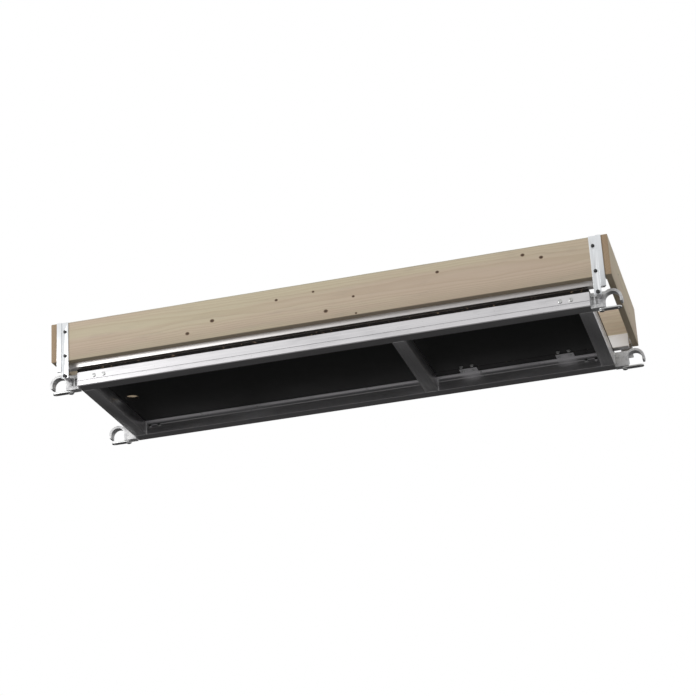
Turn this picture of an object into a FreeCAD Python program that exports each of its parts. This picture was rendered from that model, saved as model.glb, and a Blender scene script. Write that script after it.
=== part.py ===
import FreeCAD, Part
import os
import Sketcher
from FreeCAD import Rotation, Vector

# Work platform of a mobile scaffold tower: an aluminium frame with a plywood deck and a
# trapdoor, hung on the tower's rungs by four claws, with timber toe boards round it.
# Millimetres. X runs along the plank, the front is at -Y, Z is up. The origin is the
# centre of the footprint, at the height of the lowest bolt heads.

doc = FreeCAD.newDocument("ScaffoldPlank")
sheet = doc.addObject("Spreadsheet::Sheet", "Sizes")


class Size:
    """A length that knows its number and the sheet expression that it comes from."""

    def __init__(self, number, text):
        self.number, self.text = number, text

    def joined(self, other, sign, number):
        return Size(number, "(" + self.text + sign + other.text + ")")

    def __add__(self, other):
        other = as_size(other)
        return self.joined(other, " + ", self.number + other.number)

    def __radd__(self, other):
        return as_size(other) + self

    def __sub__(self, other):
        other = as_size(other)
        return self.joined(other, " - ", self.number - other.number)

    def __rsub__(self, other):
        return as_size(other) - self

    def __mul__(self, other):
        other = as_size(other)
        return self.joined(other, " * ", self.number * other.number)

    __rmul__ = __mul__

    def __truediv__(self, other):
        other = as_size(other)
        return self.joined(other, " / ", self.number / other.number)

    def __neg__(self):
        return self * -1


def as_size(value):
    return value if isinstance(value, Size) else Size(value, "(" + repr(value) + ")")


def given(alias, value, meaning):
    """Write one driving size into the sheet and return it."""
    given.row += 1
    sheet.set("A%d" % given.row, alias)
    sheet.set("B%d" % given.row, str(value))
    sheet.setAlias("B%d" % given.row, alias)
    sheet.set("C%d" % given.row, meaning)
    return Size(value, "Sizes." + alias)


given.row = 0

# ---------------------------------------------------------------- driving sizes

rung_pitch = given("rung_pitch", 1950, "distance between the two rungs that carry the plank")
rung_diameter = given("rung_diameter", 50, "outer diameter of a tower rung")
saddle_play = given("saddle_play", 0.5, "radial play of a claw on its rung")
plank_width = given("plank_width", 610, "width over the side beams")
end_setback = given("end_setback", 72, "from a rung's axis to the end of the side beams")

beam_width = given("beam_width", 52, "width of a side beam's box")
beam_height = given("beam_height", 51, "height of all beams")
beam_drop = given("beam_drop", 21, "from the rung's axis down to the beams' underside")
beam_side_wall = given("beam_side_wall", 4.5, "side walls of a side beam")
beam_flange = given("beam_flange", 3, "top and bottom walls of a side beam, and its ledge")
beam_groove = given("beam_groove", 1.6, "depth of the grooves along a side beam")
groove_low = given("groove_low", 16, "height of the outer groove's lower edge")
groove_height = given("groove_height", 4, "height of the outer groove")
inner_groove_low = given("inner_groove_low", 24, "height of the inner groove's lower edge")
inner_groove_high = given("inner_groove_high", 34, "height of the inner groove's upper edge")
beam_chamfer = given("beam_chamfer", 2.5, "chamfer along a side beam's outer lower edge")
ledge_width = given("ledge_width", 12, "inward ledge that carries the deck")
edge_round = given("edge_round", 0.6, "rounded edges of the extrusions")

cross_width = given("cross_width", 46, "width of the end beams and the cross beam")
cross_wall = given("cross_wall", 2.5, "wall of the end beams and the cross beam")
cross_offset = given("cross_offset", 240, "from the middle of the plank to the cross beam")

deck_thick = given("deck_thick", 12, "plywood deck and trapdoor")
deck_inset = given("deck_inset", 2.5, "deck edge behind the side beams' outer faces")
grip_diameter = given("grip_diameter", 50, "grip hole in the deck")
grip_offset = given("grip_offset", 815, "from the middle of the plank to the grip hole")

claw_width = given("claw_width", 30, "width of a claw")
claw_rim = given("claw_rim", 9, "thickness of a claw over the rung")
claw_step = given("claw_step", 2, "claw's top below the deck")
nose_drop = given("nose_drop", 12, "how far a claw's nose reaches below the rung's axis")
tongue_length = given("tongue_length", 120, "length of a claw's tongue in its beam")
tongue_play = given("tongue_play", 0.3, "play of the tongue in the beam")
web_pocket = given("web_pocket", 10, "depth of the pockets in a claw's web")
claw_bolt = given("claw_bolt", 8, "diameter of the bolts that hold a claw")

lock_thick = given("lock_thick", 5, "thickness of a wind lock")
lock_width = given("lock_width", 22, "width of a wind lock")
lock_reach = given("lock_reach", 56, "from a wind lock's pivot to its tip centre")
lock_play = given("lock_play", 0.3, "play above and below a wind lock")
lock_gap = given("lock_gap", 1.5, "gap between a wind lock and the rung")
lock_bolt = given("lock_bolt", 10, "diameter of a wind lock's pivot bolt")
lock_head = given("lock_head", 4.2, "height of that bolt's head")
lock_head_across = given("lock_head_across", 19, "width of that head across its corners")
pivot_play = given("pivot_play", 0.05, "radial play on pivots")

lid_width = given("lid_width", 400, "trapdoor size across the plank")
lid_gap = given("lid_gap", 2, "gap round the trapdoor")
lid_lap = given("lid_lap", 15, "trapdoor resting on the beams at its two ends")
rest_play = given("rest_play", 0.3, "play between the trapdoor and what it rests on")
hinge_length = given("hinge_length", 64, "length of a trapdoor hinge")
hinge_leaf = given("hinge_leaf", 30, "width of a hinge leaf")
hinge_thick = given("hinge_thick", 2.5, "thickness of a hinge leaf")
hinge_pin = given("hinge_pin", 5, "diameter of a hinge pin")
knuckle_play = given("knuckle_play", 0.4, "play between the knuckles")
hinge_offset = given("hinge_offset", 175, "from the middle of the trapdoor to a hinge")
hinge_bolt = given("hinge_bolt", 6, "diameter of the hinge bolts")
strap_thick = given("strap_thick", 2.5, "thickness of a backing strap under a hinge")

rest_width = given("rest_width", 34, "width of a rest under the trapdoor's front edge")
rest_reach = given("rest_reach", 12, "how far a rest reaches under the trapdoor")
rest_length = given("rest_length", 200, "length of a rest")
rest_thick = given("rest_thick", 3, "thickness of a rest")
latch_inset = given("latch_inset", 32, "from the trapdoor's front edge to the latch")
latch_spindle = given("latch_spindle", 12, "diameter of the latch spindle")
latch_knob = given("latch_knob", 46, "diameter of the latch knob")
latch_engage = given("latch_engage", 18, "how far the latch blade reaches under the deck")
blade_width = given("blade_width", 20, "width of the latch blade")
blade_thick = given("blade_thick", 4, "thickness of the latch blade")
finger_hole = given("finger_hole", 36, "diameter of the trapdoor's finger hole")
finger_offset = given("finger_offset", 120, "from the latch to the finger hole")

board_thick = given("board_thick", 28, "thickness of the long toe boards")
end_board_thick = given("end_board_thick", 22, "thickness of the end toe boards")
board_height = given("board_height", 145, "height of the toe boards")
end_board_setback = given("end_board_setback", 10, "from a rung's axis in to the end board")
board_round = given("board_round", 2, "rounded edges of the toe boards")
drain_gap = given("drain_gap", 8, "drainage gap between the deck and a toe rail")
rail_wall = given("rail_wall", 3, "wall of the angle rail behind a long toe board")
rail_height = given("rail_height", 60, "height of that rail")
rail_foot = given("rail_foot", 30, "width of the rail's foot")
rail_show = given("rail_show", 18, "part of the rail that shows under the board")
rail_gap = given("rail_gap", 6, "from the end of a board to the end of its rail")
rail_screw = given("rail_screw", 5, "diameter of the screws that hold a rail")
rail_screw_pitch = given("rail_screw_pitch", 400, "between those screws")

bracket_face = given("bracket_face", 42, "width of a corner bracket's front")
bracket_lap = given("bracket_lap", 18, "bracket's return flange past the board's inner face")
bracket_wall = given("bracket_wall", 3, "wall of a corner bracket")
bracket_bead = given("bracket_bead", 17, "width of the raised bead on a corner bracket")
bead_rise = given("bead_rise", 3.5, "height of that bead")
bracket_foot = given("bracket_foot", 3, "bracket's lower end above the rung's axis")
screw_first = given("screw_first", 35, "from a board's top to the first bracket screw")
screw_pitch = given("screw_pitch", 91, "between the two bracket screws")
screw_diameter = given("screw_diameter", 6, "diameter of the bracket screws")
screw_depth = given("screw_depth", 18, "how deep the bracket screws go into the timber")
foot_bolt = given("foot_bolt", 8, "diameter of a bracket's foot bolt")
foot_bolt_grip = given("foot_bolt_grip", 15, "how deep a foot bolt goes into its claw")
spacer_wall = given("spacer_wall", 4, "wall of the tube between a claw and its bracket")

rivet_diameter = given("rivet_diameter", 4.8, "diameter of the deck rivets")
rivet_margin = given("rivet_margin", 53, "from the side beams' ends to the nearest rivets")
rivet_clear = given("rivet_clear", 5, "from the cross beam to the nearest rivets in the ledges")
doc.recompute()

# ---------------------------------------------------------------- derived places

rung_radius = rung_diameter / 2
rung_x = rung_pitch / 2
lock_bottom = lock_head + lock_play
rung_z = lock_bottom + lock_thick + lock_gap + rung_radius
beam_end = rung_x - end_setback
beam_bottom = rung_z - beam_drop
deck_bottom = beam_bottom + beam_height
deck_top = deck_bottom + deck_thick
half_width = plank_width / 2
box_face = half_width - beam_width
ledge_face = box_face - ledge_width

end_inner = beam_end - cross_width
cross_left = cross_offset - cross_width / 2
cross_right = cross_offset + cross_width / 2
lid_left = cross_right - lid_lap
lid_right = end_inner + lid_lap
lid_middle = (lid_left + lid_right) / 2
lid_half = lid_width / 2
lid_bottom = deck_bottom + rest_play
lid_top = lid_bottom + deck_thick

claw_y = half_width - beam_width / 2
claw_outer = claw_y + claw_width / 2
rail_bottom = deck_top + drain_gap
board_bottom = rail_bottom + rail_show
board_top = board_bottom + board_height
board_inner = half_width
board_outer = board_inner + board_thick
end_board_inner = rung_x - end_board_setback
bracket_inner_x = end_board_inner - bracket_face
board_end = end_board_inner - bracket_wall

# ---------------------------------------------------------------- building helpers


def bind(item, **sizes):
    for name, size in sizes.items():
        item.setExpression(name.replace("_", "."), as_size(size).text)


def place(item, x, y, z):
    bind(item, Placement_Base_x=x, Placement_Base_y=y, Placement_Base_z=z)


def box(name, x_span, y_span, z_span):
    """A block between two values on each axis, given in either order."""
    spans = [sorted((as_size(a), as_size(b)), key=lambda size: size.number)
             for a, b in (x_span, y_span, z_span)]
    item = doc.addObject("Part::Box", name)
    lengths = [high - low for low, high in spans]
    bind(item, Length=lengths[0], Width=lengths[1], Height=lengths[2])
    place(item, spans[0][0], spans[1][0], spans[2][0])
    return item


TURNS = {
    "x": Rotation(Vector(0, 1, 0), 90), "-x": Rotation(Vector(0, 1, 0), -90),
    "y": Rotation(Vector(1, 0, 0), -90), "-y": Rotation(Vector(1, 0, 0), 90),
    "z": Rotation(), "-z": Rotation(Vector(1, 0, 0), 180),
}


def rod(name, radius, length, start, way="z"):
    """A cylinder that starts at a point and runs along one way."""
    item = doc.addObject("Part::Cylinder", name)
    item.Placement = FreeCAD.Placement(Vector(), TURNS[way])
    bind(item, Radius=radius, Height=length)
    place(item, *start)
    return item


def hexagon(name, across, length, start, way="z"):
    """A hexagonal bolt head or nut, measured across its corners."""
    item = doc.addObject("Part::Prism", name)
    item.Polygon = 6
    item.Placement = FreeCAD.Placement(Vector(), TURNS[way])
    bind(item, Circumradius=as_size(across) / 2, Height=length)
    place(item, *start)
    return item


def fuse(name, items):
    item = doc.addObject("Part::MultiFuse", name)
    item.Shapes = items
    item.Refine = True
    return item


def group(name, items):
    item = doc.addObject("Part::Compound", name)
    item.Links = items
    return item


def cut(name, base, tools):
    item = doc.addObject("Part::Cut", name)
    item.Base = base
    item.Tool = tools[0] if len(tools) == 1 else group(name + "_tools", tools)
    return item


def sketch_on(body, role, name):
    sketch = body.newObject("Sketcher::SketchObject", name)
    plane = [item for item in body.Origin.OriginFeatures if item.Role == role][0]
    sketch.AttachmentSupport = [(plane, "")]
    sketch.MapMode = "FlatFace"
    return sketch


def outline(sketch, corners):
    """A closed outline of straight lines, every corner tied to the sheet."""
    corners = [(as_size(a), as_size(b)) for a, b in corners]
    points = [Vector(a.number, b.number, 0) for a, b in corners]
    first = sketch.GeometryCount
    for index, point in enumerate(points):
        sketch.addGeometry(Part.LineSegment(point, points[(index + 1) % len(points)]))
    for index in range(len(points)):
        sketch.addConstraint(Sketcher.Constraint(
            "Coincident", first + index, 2, first + (index + 1) % len(points), 1))
    for index, corner in enumerate(corners):
        for kind, axis, size in (("DistanceX", -2, corner[0]), ("DistanceY", -1, corner[1])):
            if size.number == 0 and "Sizes" not in size.text:
                sketch.addConstraint(Sketcher.Constraint("PointOnObject", first + index, 1, axis))
                continue
            number = sketch.addConstraint(
                Sketcher.Constraint(kind, -1, 1, first + index, 1, size.number))
            sketch.setExpression("Constraints[%d]" % number, size.text)


def pad(body, sketch, name, length):
    item = body.newObject("PartDesign::Pad", name)
    item.Profile = sketch
    bind(item, Length=length)
    return item


def long_edges(shape, way):
    """Names of a shape's straight edges that run along one way."""
    names = []
    for index, edge in enumerate(shape.Edges, 1):
        if len(edge.Vertexes) != 2:
            continue
        run = edge.Vertexes[1].Point - edge.Vertexes[0].Point
        if run.Length > 1 and abs(run.dot(way)) > 0.999 * run.Length:
            names.append("Edge%d" % index)
    return names


def soften(body, base, name, radius, edges):
    item = body.newObject("PartDesign::Fillet", name)
    item.Base = (base, edges)
    bind(item, Radius=radius)
    return item


def plank(name, x_span, y_span, z_span, grain):
    """A sawn board with its long edges rounded."""
    spans = [sorted((as_size(a), as_size(b)), key=lambda size: size.number)
             for a, b in (x_span, y_span, z_span)]
    size_x, size_y, size_z = [high - low for low, high in spans]
    body = doc.addObject("PartDesign::Body", name)
    if grain == "x":
        sketch = sketch_on(body, "YZ_Plane", name + "_section")
        outline(sketch, [(0, 0), (size_y, 0), (size_y, size_z), (0, size_z)])
        base = pad(body, sketch, name + "_pad", size_x)
        way = Vector(1, 0, 0)
    else:
        sketch = sketch_on(body, "XZ_Plane", name + "_section")
        outline(sketch, [(0, 0), (size_x, 0), (size_x, size_z), (0, size_z)])
        base = pad(body, sketch, name + "_pad", size_y)
        base.Reversed = True
        way = Vector(0, 1, 0)
    doc.recompute()
    soften(body, base, name + "_round", board_round, long_edges(base.Shape, way))
    place(body, spans[0][0], spans[1][0], spans[2][0])
    return body


nodes = []


def node(item, name):
    """Name a finished piece, which is also the name of its file."""
    item.Label = name
    nodes.append(item)
    return item


SIDES = (("front", -1), ("rear", 1))
ENDS = (("left", -1), ("right", 1))

# ---------------------------------------------------------------- deck rivets' places

rivet_spots = []
first_rivet = rivet_margin - beam_end
cross_rivet = cross_left - rivet_clear
ledge_rivets = [first_rivet + (cross_rivet - first_rivet) * (step / 5) for step in range(6)]
ledge_rivets += [cross_rivet - (cross_rivet + first_rivet) * (step / 3) for step in (1, 2, 3)]
for side, y_sign in SIDES:
    for along in ledge_rivets:
        rivet_spots.append((along, (box_face - ledge_width / 2) * y_sign, beam_flange))
end_beam_middle = beam_end - cross_width / 2
right_strip = (lid_right + lid_gap + beam_end) / 2
left_strip = (cross_left + lid_left - lid_gap) / 2
for along in (-end_beam_middle, left_strip, right_strip):
    for share in (-0.7, 0, 0.7):
        rivet_spots.append((along, ledge_face * share, cross_wall))


def rivet_holes(name, spots):
    return [rod("%s_rivet_hole_%d" % (name, index), rivet_diameter / 2,
                wall + deck_thick + 2, (x, y, deck_bottom - wall - 1), "z")
            for index, (x, y, wall) in enumerate(spots)]


# ---------------------------------------------------------------- side beams

bolt_spots = [beam_end - cross_width - claw_bolt * share for share in (2, 6.5)]
bolt_z = beam_bottom + beam_height * 0.62


def side_beam(side, y_sign):
    name = "side_beam_" + side
    body = doc.addObject("PartDesign::Body", name + "_body")
    section = sketch_on(body, "YZ_Plane", name + "_section")
    groove_top = groove_low + groove_height
    rail = beam_width + ledge_width
    corners = [
        (beam_chamfer, 0), (0, beam_chamfer), (0, groove_low), (beam_groove, groove_low),
        (beam_groove, groove_top), (0, groove_top), (0, beam_height), (rail, beam_height),
        (rail, beam_height - beam_flange), (beam_width, beam_height - beam_flange),
        (beam_width, inner_groove_high), (beam_width - beam_groove, inner_groove_high),
        (beam_width - beam_groove, inner_groove_low), (beam_width, inner_groove_low),
        (beam_width, 0),
    ]
    hollow = [
        (beam_side_wall, beam_flange), (beam_width - beam_side_wall, beam_flange),
        (beam_width - beam_side_wall, beam_height - beam_flange),
        (beam_side_wall, beam_height - beam_flange),
    ]
    for points in (corners, hollow):
        outline(section, [(as_size(a) * -y_sign, b) for a, b in points])
    base = pad(body, section, name + "_pad", beam_end * 2)
    doc.recompute()
    outer = [edge for edge in long_edges(base.Shape, Vector(1, 0, 0))
             if not inside_hollow(base.Shape.getElement(edge))]
    soften(body, base, name + "_round", edge_round, outer)
    place(body, -beam_end, half_width * y_sign, beam_bottom)
    holes = rivet_holes(name, [spot for spot in rivet_spots[:18]
                               if spot[1].number * y_sign > 0])
    for end, x_sign in ENDS:
        for index, along in enumerate(bolt_spots):
            holes.append(rod("%s_%s_bolt_hole_%d" % (name, end, index), claw_bolt / 2,
                             beam_width + 2, (along * x_sign, (half_width + 1) * y_sign, bolt_z),
                             "-y" if y_sign > 0 else "y"))
    return node(cut(name, body, holes), name)


def inside_hollow(edge):
    """Whether an edge of a side beam's section lies on its hollow."""
    point = edge.Vertexes[0].Point
    across = abs(point.y)
    near = 0.01
    return (beam_side_wall.number - near < across
            < (beam_width - beam_side_wall).number + near
            and beam_flange.number - near < point.z
            < (beam_height - beam_flange).number + near)


for side, y_sign in SIDES:
    side_beam(side, y_sign)

# ---------------------------------------------------------------- end beams and cross beam


def tie_beam(name, middle, spots):
    """A box tube welded between the side beams, coped to clear their ledges."""
    top = deck_bottom
    outer = box(name + "_outer", (middle - cross_width / 2, middle + cross_width / 2),
                (-box_face, box_face), (beam_bottom, top))
    inner = box(name + "_inner",
                (middle - cross_width / 2 + cross_wall, middle + cross_width / 2 - cross_wall),
                (-box_face - 1, box_face + 1), (beam_bottom + cross_wall, top - cross_wall))
    copes = [box("%s_cope_%s" % (name, side), (middle - cross_width, middle + cross_width),
                 (ledge_face * y_sign, (box_face + 1) * y_sign), (top - beam_flange, top + 1))
             for side, y_sign in SIDES]
    return node(cut(name, outer, [inner] + copes + rivet_holes(name, spots)), name)


tie_beam("end_beam_left", -end_beam_middle, rivet_spots[18:21])
tie_beam("cross_beam", cross_offset, rivet_spots[21:24])
tie_beam("end_beam_right", end_beam_middle, rivet_spots[24:27])

# ---------------------------------------------------------------- claws

foot_bolt_z = rung_z + bracket_foot + foot_bolt
lock_x = rung_x - rung_radius - saddle_play - lock_bolt * 1.35
web_bottom = lock_bottom + lock_thick + lock_play


def claw(side, y_sign, end, x_sign):
    name = "claw_%s_%s" % (side, end)
    y_span = ((claw_y - claw_width / 2) * y_sign, (claw_y + claw_width / 2) * y_sign)
    throat = rung_radius + saddle_play
    tongue = box(name + "_tongue", ((beam_end - tongue_length) * x_sign, beam_end * x_sign),
                 ((half_width - beam_side_wall - tongue_play) * y_sign,
                  (box_face + beam_side_wall + tongue_play) * y_sign),
                 (beam_bottom + beam_flange + tongue_play, deck_bottom - beam_flange - tongue_play))
    web = box(name + "_web", (beam_end * x_sign, rung_x * x_sign), y_span,
              (web_bottom, deck_bottom - claw_step))
    crown = rod(name + "_crown", throat + claw_rim, claw_width,
                (rung_x * x_sign, claw_y - claw_width / 2 if y_sign > 0
                 else -claw_y - claw_width / 2, rung_z), "y")
    blank = fuse(name + "_blank", [tongue, web, crown])
    inside = (claw_y - claw_width / 2 - 1) * y_sign
    outside = (claw_y + claw_width / 2 + 1) * y_sign
    start_y = inside if y_sign > 0 else outside
    saddle = rod(name + "_saddle", throat, claw_width + 2, (rung_x * x_sign, start_y, rung_z), "y")
    slot = box(name + "_slot", ((rung_x - throat) * x_sign, (rung_x + throat) * x_sign),
               (inside, outside), (rung_z - throat * 2, rung_z))
    below = box(name + "_below", (rung_x * x_sign, (rung_x + throat + claw_rim + 1) * x_sign),
                (inside, outside), (rung_z - throat * 2, rung_z - nose_drop))
    skirt = box(name + "_skirt", ((beam_end + 1) * x_sign, (rung_x + throat * 2) * x_sign),
                (inside, outside), (rung_z - throat * 3, web_bottom))
    pockets = []
    for index, share in enumerate((0.06, 0.24)):
        low = beam_end + end_setback * share
        pockets.append(box("%s_pocket_%d" % (name, index),
                           (low * x_sign, (low + end_setback * 0.12) * x_sign),
                           (outside, (claw_outer - web_pocket) * y_sign),
                           (rung_z - 14, rung_z + 14)))
    lock_hole = rod(name + "_lock_hole", lock_bolt / 2 + pivot_play, 26,
                    (lock_x * x_sign, claw_y * y_sign, web_bottom - 5), "z")
    way = "-y" if y_sign > 0 else "y"
    foot_hole = rod(name + "_foot_hole", foot_bolt / 2, foot_bolt_grip + 2,
                    (lock_x * x_sign, outside, foot_bolt_z), way)
    bolt_holes = [rod("%s_bolt_hole_%d" % (name, index), claw_bolt / 2, beam_width + 2,
                      (along * x_sign, (half_width + 1) * y_sign, bolt_z), way)
                  for index, along in enumerate(bolt_spots)]
    return node(cut(name, blank, [saddle, slot, below, skirt, lock_hole, foot_hole]
                    + pockets + bolt_holes), name)


claw_bolts = []
lock_bolts = []
for side, y_sign in SIDES:
    for end, x_sign in ENDS:
        claw(side, y_sign, end, x_sign)
        tag = "%s_%s" % (side, end)
        way = "-y" if y_sign > 0 else "y"
        back = "y" if y_sign > 0 else "-y"
        for index, along in enumerate(bolt_spots):
            label = "claw_bolt_%s_%d" % (tag, index)
            x = along * x_sign
            claw_bolts.append(fuse(label, [
                rod(label + "_shank", claw_bolt / 2, beam_width, (x, half_width * y_sign, bolt_z), way),
                rod(label + "_head", claw_bolt * 0.9, 2.2, (x, half_width * y_sign, bolt_z), back),
                hexagon(label + "_nut", claw_bolt * 1.8, 5, (x, box_face * y_sign, bolt_z), way),
            ]))
        spot = (lock_x * x_sign, claw_y * y_sign)

        # A wind lock swings flat under the claw on a bolt from below.
        name = "wind_lock_" + tag
        tip_x = (lock_x + lock_reach) * x_sign
        eye = rod(name + "_eye", lock_width / 2, lock_thick, spot + (lock_bottom,), "z")
        tip = rod(name + "_tip", lock_width / 2, lock_thick,
                  (tip_x, claw_y * y_sign, lock_bottom), "z")
        bar = box(name + "_bar", (spot[0], tip_x),
                  (claw_y * y_sign - lock_width / 2, claw_y * y_sign + lock_width / 2),
                  (lock_bottom, lock_bottom + lock_thick))
        bore = rod(name + "_bore", lock_bolt / 2 + pivot_play, lock_thick + 2,
                   spot + (lock_bottom - 1,), "z")
        grip = rod(name + "_grip", 4, lock_thick + 2, (tip_x, claw_y * y_sign, lock_bottom - 1), "z")
        node(cut(name, fuse(name + "_plate", [eye, bar, tip]), [bore, grip]), name)

        label = "lock_bolt_" + tag
        lock_bolts.append(fuse(label, [
            hexagon(label + "_head", lock_head_across, lock_head, spot + (0,), "z"),
            rod(label + "_shank", lock_bolt / 2, web_bottom + 20, spot + (0,), "z"),
        ]))
node(group("claw_bolts", claw_bolts), "claw_bolts")
node(group("wind_lock_bolts", lock_bolts), "wind_lock_bolts")

# ---------------------------------------------------------------- deck

deck_edge = half_width - deck_inset
deck_blank = box("deck_blank", (-beam_end, beam_end), (-deck_edge, deck_edge),
                 (deck_bottom, deck_top))
hatch_hole = box("deck_hatch_hole", (lid_left - lid_gap, lid_right + lid_gap),
                 (-lid_half - lid_gap, lid_half + lid_gap), (deck_bottom - 1, deck_top + 1))
grip_hole = rod("deck_grip_hole", grip_diameter / 2, deck_thick + 2,
                (-grip_offset, 0, deck_bottom - 1), "z")

hinge_middles = [lid_middle - hinge_offset, lid_middle + hinge_offset]
knuckle_radius = hinge_pin / 2 + hinge_thick
hinge_y = lid_half + lid_gap / 2
hinge_z = lid_top + rest_play + knuckle_radius
deck_bolt_y = hinge_y + hinge_leaf * 0.62
lid_bolt_y = hinge_y - hinge_leaf * 0.62
bolt_share = 0.3
deck_bolt_holes = []
for index, middle in enumerate(hinge_middles):
    for share in (-bolt_share, bolt_share):
        deck_bolt_holes.append(rod(
            "deck_bolt_hole_%d_%s" % (index, "a" if share < 0 else "b"), hinge_bolt / 2,
            deck_thick + 2, (middle + hinge_length * share, deck_bolt_y, deck_bottom - 1), "z"))

rest_rivet_y = -lid_half - lid_gap - (rest_width - rest_reach) / 2
blade_reach = latch_inset + lid_gap + latch_engage
rest_middle = blade_reach + blade_width / 2 + 4 + rest_length / 2
rest_spots = []
for end, x_sign in ENDS:
    middle = lid_middle + rest_middle * x_sign
    for share in (-0.4, 0, 0.4):
        rest_spots.append((middle + rest_length * share, rest_rivet_y, rest_thick))

node(cut("deck_panel", deck_blank, [hatch_hole, grip_hole] + deck_bolt_holes
         + rivet_holes("deck", rivet_spots) + rivet_holes("deck_rest", rest_spots)), "deck_panel")


def rivets(name, spots):
    """Blind rivets through the deck: a low head above, a set bulb below."""
    items = []
    for index, (x, y, wall) in enumerate(spots):
        label = "%s_%d" % (name, index)
        items.append(fuse(label, [
            rod(label + "_head", rivet_diameter, 1.4, (x, y, deck_top), "z"),
            rod(label + "_shank", rivet_diameter / 2, deck_thick + wall, (x, y, deck_top), "-z"),
            rod(label + "_bulb", rivet_diameter * 0.8, 2.5, (x, y, deck_bottom - wall), "-z"),
        ]))
    return node(group(name, items), name)


rivets("deck_rivets", rivet_spots)

# ---------------------------------------------------------------- trapdoor

latch_y = -lid_half + latch_inset
lid_blank = box("lid_blank", (lid_left, lid_right), (-lid_half, lid_half), (lid_bottom, lid_top))
lid_bolt_spots = [(middle + hinge_length * share, lid_bolt_y)
                  for middle in hinge_middles for share in (-bolt_share, bolt_share)]
lid_holes = [rod("lid_bolt_hole_%d" % index, hinge_bolt / 2, deck_thick + 2,
                 (x, y, lid_bottom - 1), "z") for index, (x, y) in enumerate(lid_bolt_spots)]
lid_holes.append(rod("lid_finger_hole", finger_hole / 2, deck_thick + 2,
                     (lid_middle - finger_offset, latch_y + 8, lid_bottom - 1), "z"))
bush_radius = latch_spindle / 2 + 3
lid_holes.append(rod("lid_bush_hole", bush_radius, deck_thick + 2,
                     (lid_middle, latch_y, lid_bottom - 1), "z"))
node(cut("hatch_lid", lid_blank, lid_holes), "hatch_lid")

# ---------------------------------------------------------------- trapdoor hinges

# Five knuckles: the deck leaf has three and the lid leaf the two between them.
knuckle = hinge_length / 5
pins = []
for (end, x_sign), middle in zip(ENDS, hinge_middles):
    start = middle - hinge_length / 2
    leaf_z = hinge_z - knuckle_radius
    for owner, y_sign, turns in (("deck", 1, (0, 2, 4)), ("lid", -1, (1, 3))):
        name = "hinge_%s_leaf_%s" % (owner, end)
        base_z = leaf_z if owner == "lid" else deck_top
        plate = box(name + "_plate", (start, start + hinge_length),
                    (hinge_y, hinge_y + hinge_leaf * y_sign), (base_z, leaf_z + hinge_thick))
        barrels, gaps = [], []
        for turn in range(5):
            low = start + knuckle * turn
            if turn in turns:
                barrels.append(rod("%s_barrel_%d" % (name, turn), knuckle_radius,
                                   knuckle - knuckle_play * 2,
                                   (low + knuckle_play, hinge_y, hinge_z), "x"))
                gaps += [box("%s_trim_%d_%d" % (name, turn, edge), (spot, spot + knuckle_play),
                             (hinge_y - knuckle_radius - 1, hinge_y + knuckle_radius + 1),
                             (lid_top, hinge_z + knuckle_radius + 1))
                         for edge, spot in enumerate((low, low + knuckle - knuckle_play))]
            else:
                gaps.append(box("%s_gap_%d" % (name, turn), (low, low + knuckle),
                                (hinge_y - knuckle_radius - 1, hinge_y + knuckle_radius + 1),
                                (deck_bottom, hinge_z + knuckle_radius + 1)))
        pin_bore = rod(name + "_pin_bore", hinge_pin / 2 + pivot_play, hinge_length + 2,
                       (start - 1, hinge_y, hinge_z), "x")
        spots = [(middle + hinge_length * share, deck_bolt_y if y_sign > 0 else lid_bolt_y)
                 for share in (-bolt_share, bolt_share)]
        bolt_holes = [rod("%s_bolt_hole_%d" % (name, index), hinge_bolt / 2, hinge_thick + 4,
                          (x, y, base_z - 1), "z") for index, (x, y) in enumerate(spots)]
        node(cut(name, fuse(name + "_blank", [plate] + barrels), gaps + [pin_bore] + bolt_holes),
             name)
    pins.append(rod("hinge_pin_" + end, hinge_pin / 2, hinge_length, (start, hinge_y, hinge_z), "x"))

    strap = box("hinge_strap_%s_blank" % end,
                (middle - hinge_length / 2, middle + hinge_length / 2),
                (lid_half + lid_gap + 2, box_face), (deck_bottom - strap_thick, deck_bottom))
    strap_cope = box("hinge_strap_%s_cope" % end,
                     (middle - hinge_length, middle + hinge_length),
                     (ledge_face, box_face + 1), (deck_bottom - strap_thick - 1, deck_bottom + 1))
    strap_holes = [rod("hinge_strap_%s_hole_%d" % (end, index), hinge_bolt / 2, strap_thick + 2,
                       (middle + hinge_length * share, deck_bolt_y, deck_bottom - strap_thick - 1),
                       "z") for index, share in enumerate((-bolt_share, bolt_share))]
    node(cut("hinge_strap_" + end, strap, [strap_cope] + strap_holes), "hinge_strap_" + end)
node(group("hinge_pins", pins), "hinge_pins")


def through_bolts(name, spots, head_z, under_z):
    """Cup-head bolts down through a leaf and a panel, with nuts below."""
    items = []
    for index, (x, y) in enumerate(spots):
        label = "%s_%d" % (name, index)
        items.append(fuse(label, [
            rod(label + "_head", hinge_bolt, 2.2, (x, y, head_z), "z"),
            rod(label + "_shank", hinge_bolt / 2, head_z - under_z + 6, (x, y, head_z), "-z"),
            rod(label + "_washer", hinge_bolt * 1.1, 1.2, (x, y, under_z), "-z"),
            hexagon(label + "_nut", hinge_bolt * 1.9, 4.5, (x, y, under_z - 1.2), "-z"),
        ]))
    return node(group(name, items), name)


leaf_top = hinge_z - knuckle_radius + hinge_thick
deck_bolt_spots = [(middle + hinge_length * share, deck_bolt_y)
                   for middle in hinge_middles for share in (-bolt_share, bolt_share)]
through_bolts("hinge_deck_bolts", deck_bolt_spots, leaf_top, deck_bottom - strap_thick)
through_bolts("hinge_lid_bolts", lid_bolt_spots, leaf_top, lid_bottom)

# ---------------------------------------------------------------- rests for the trapdoor

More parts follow.
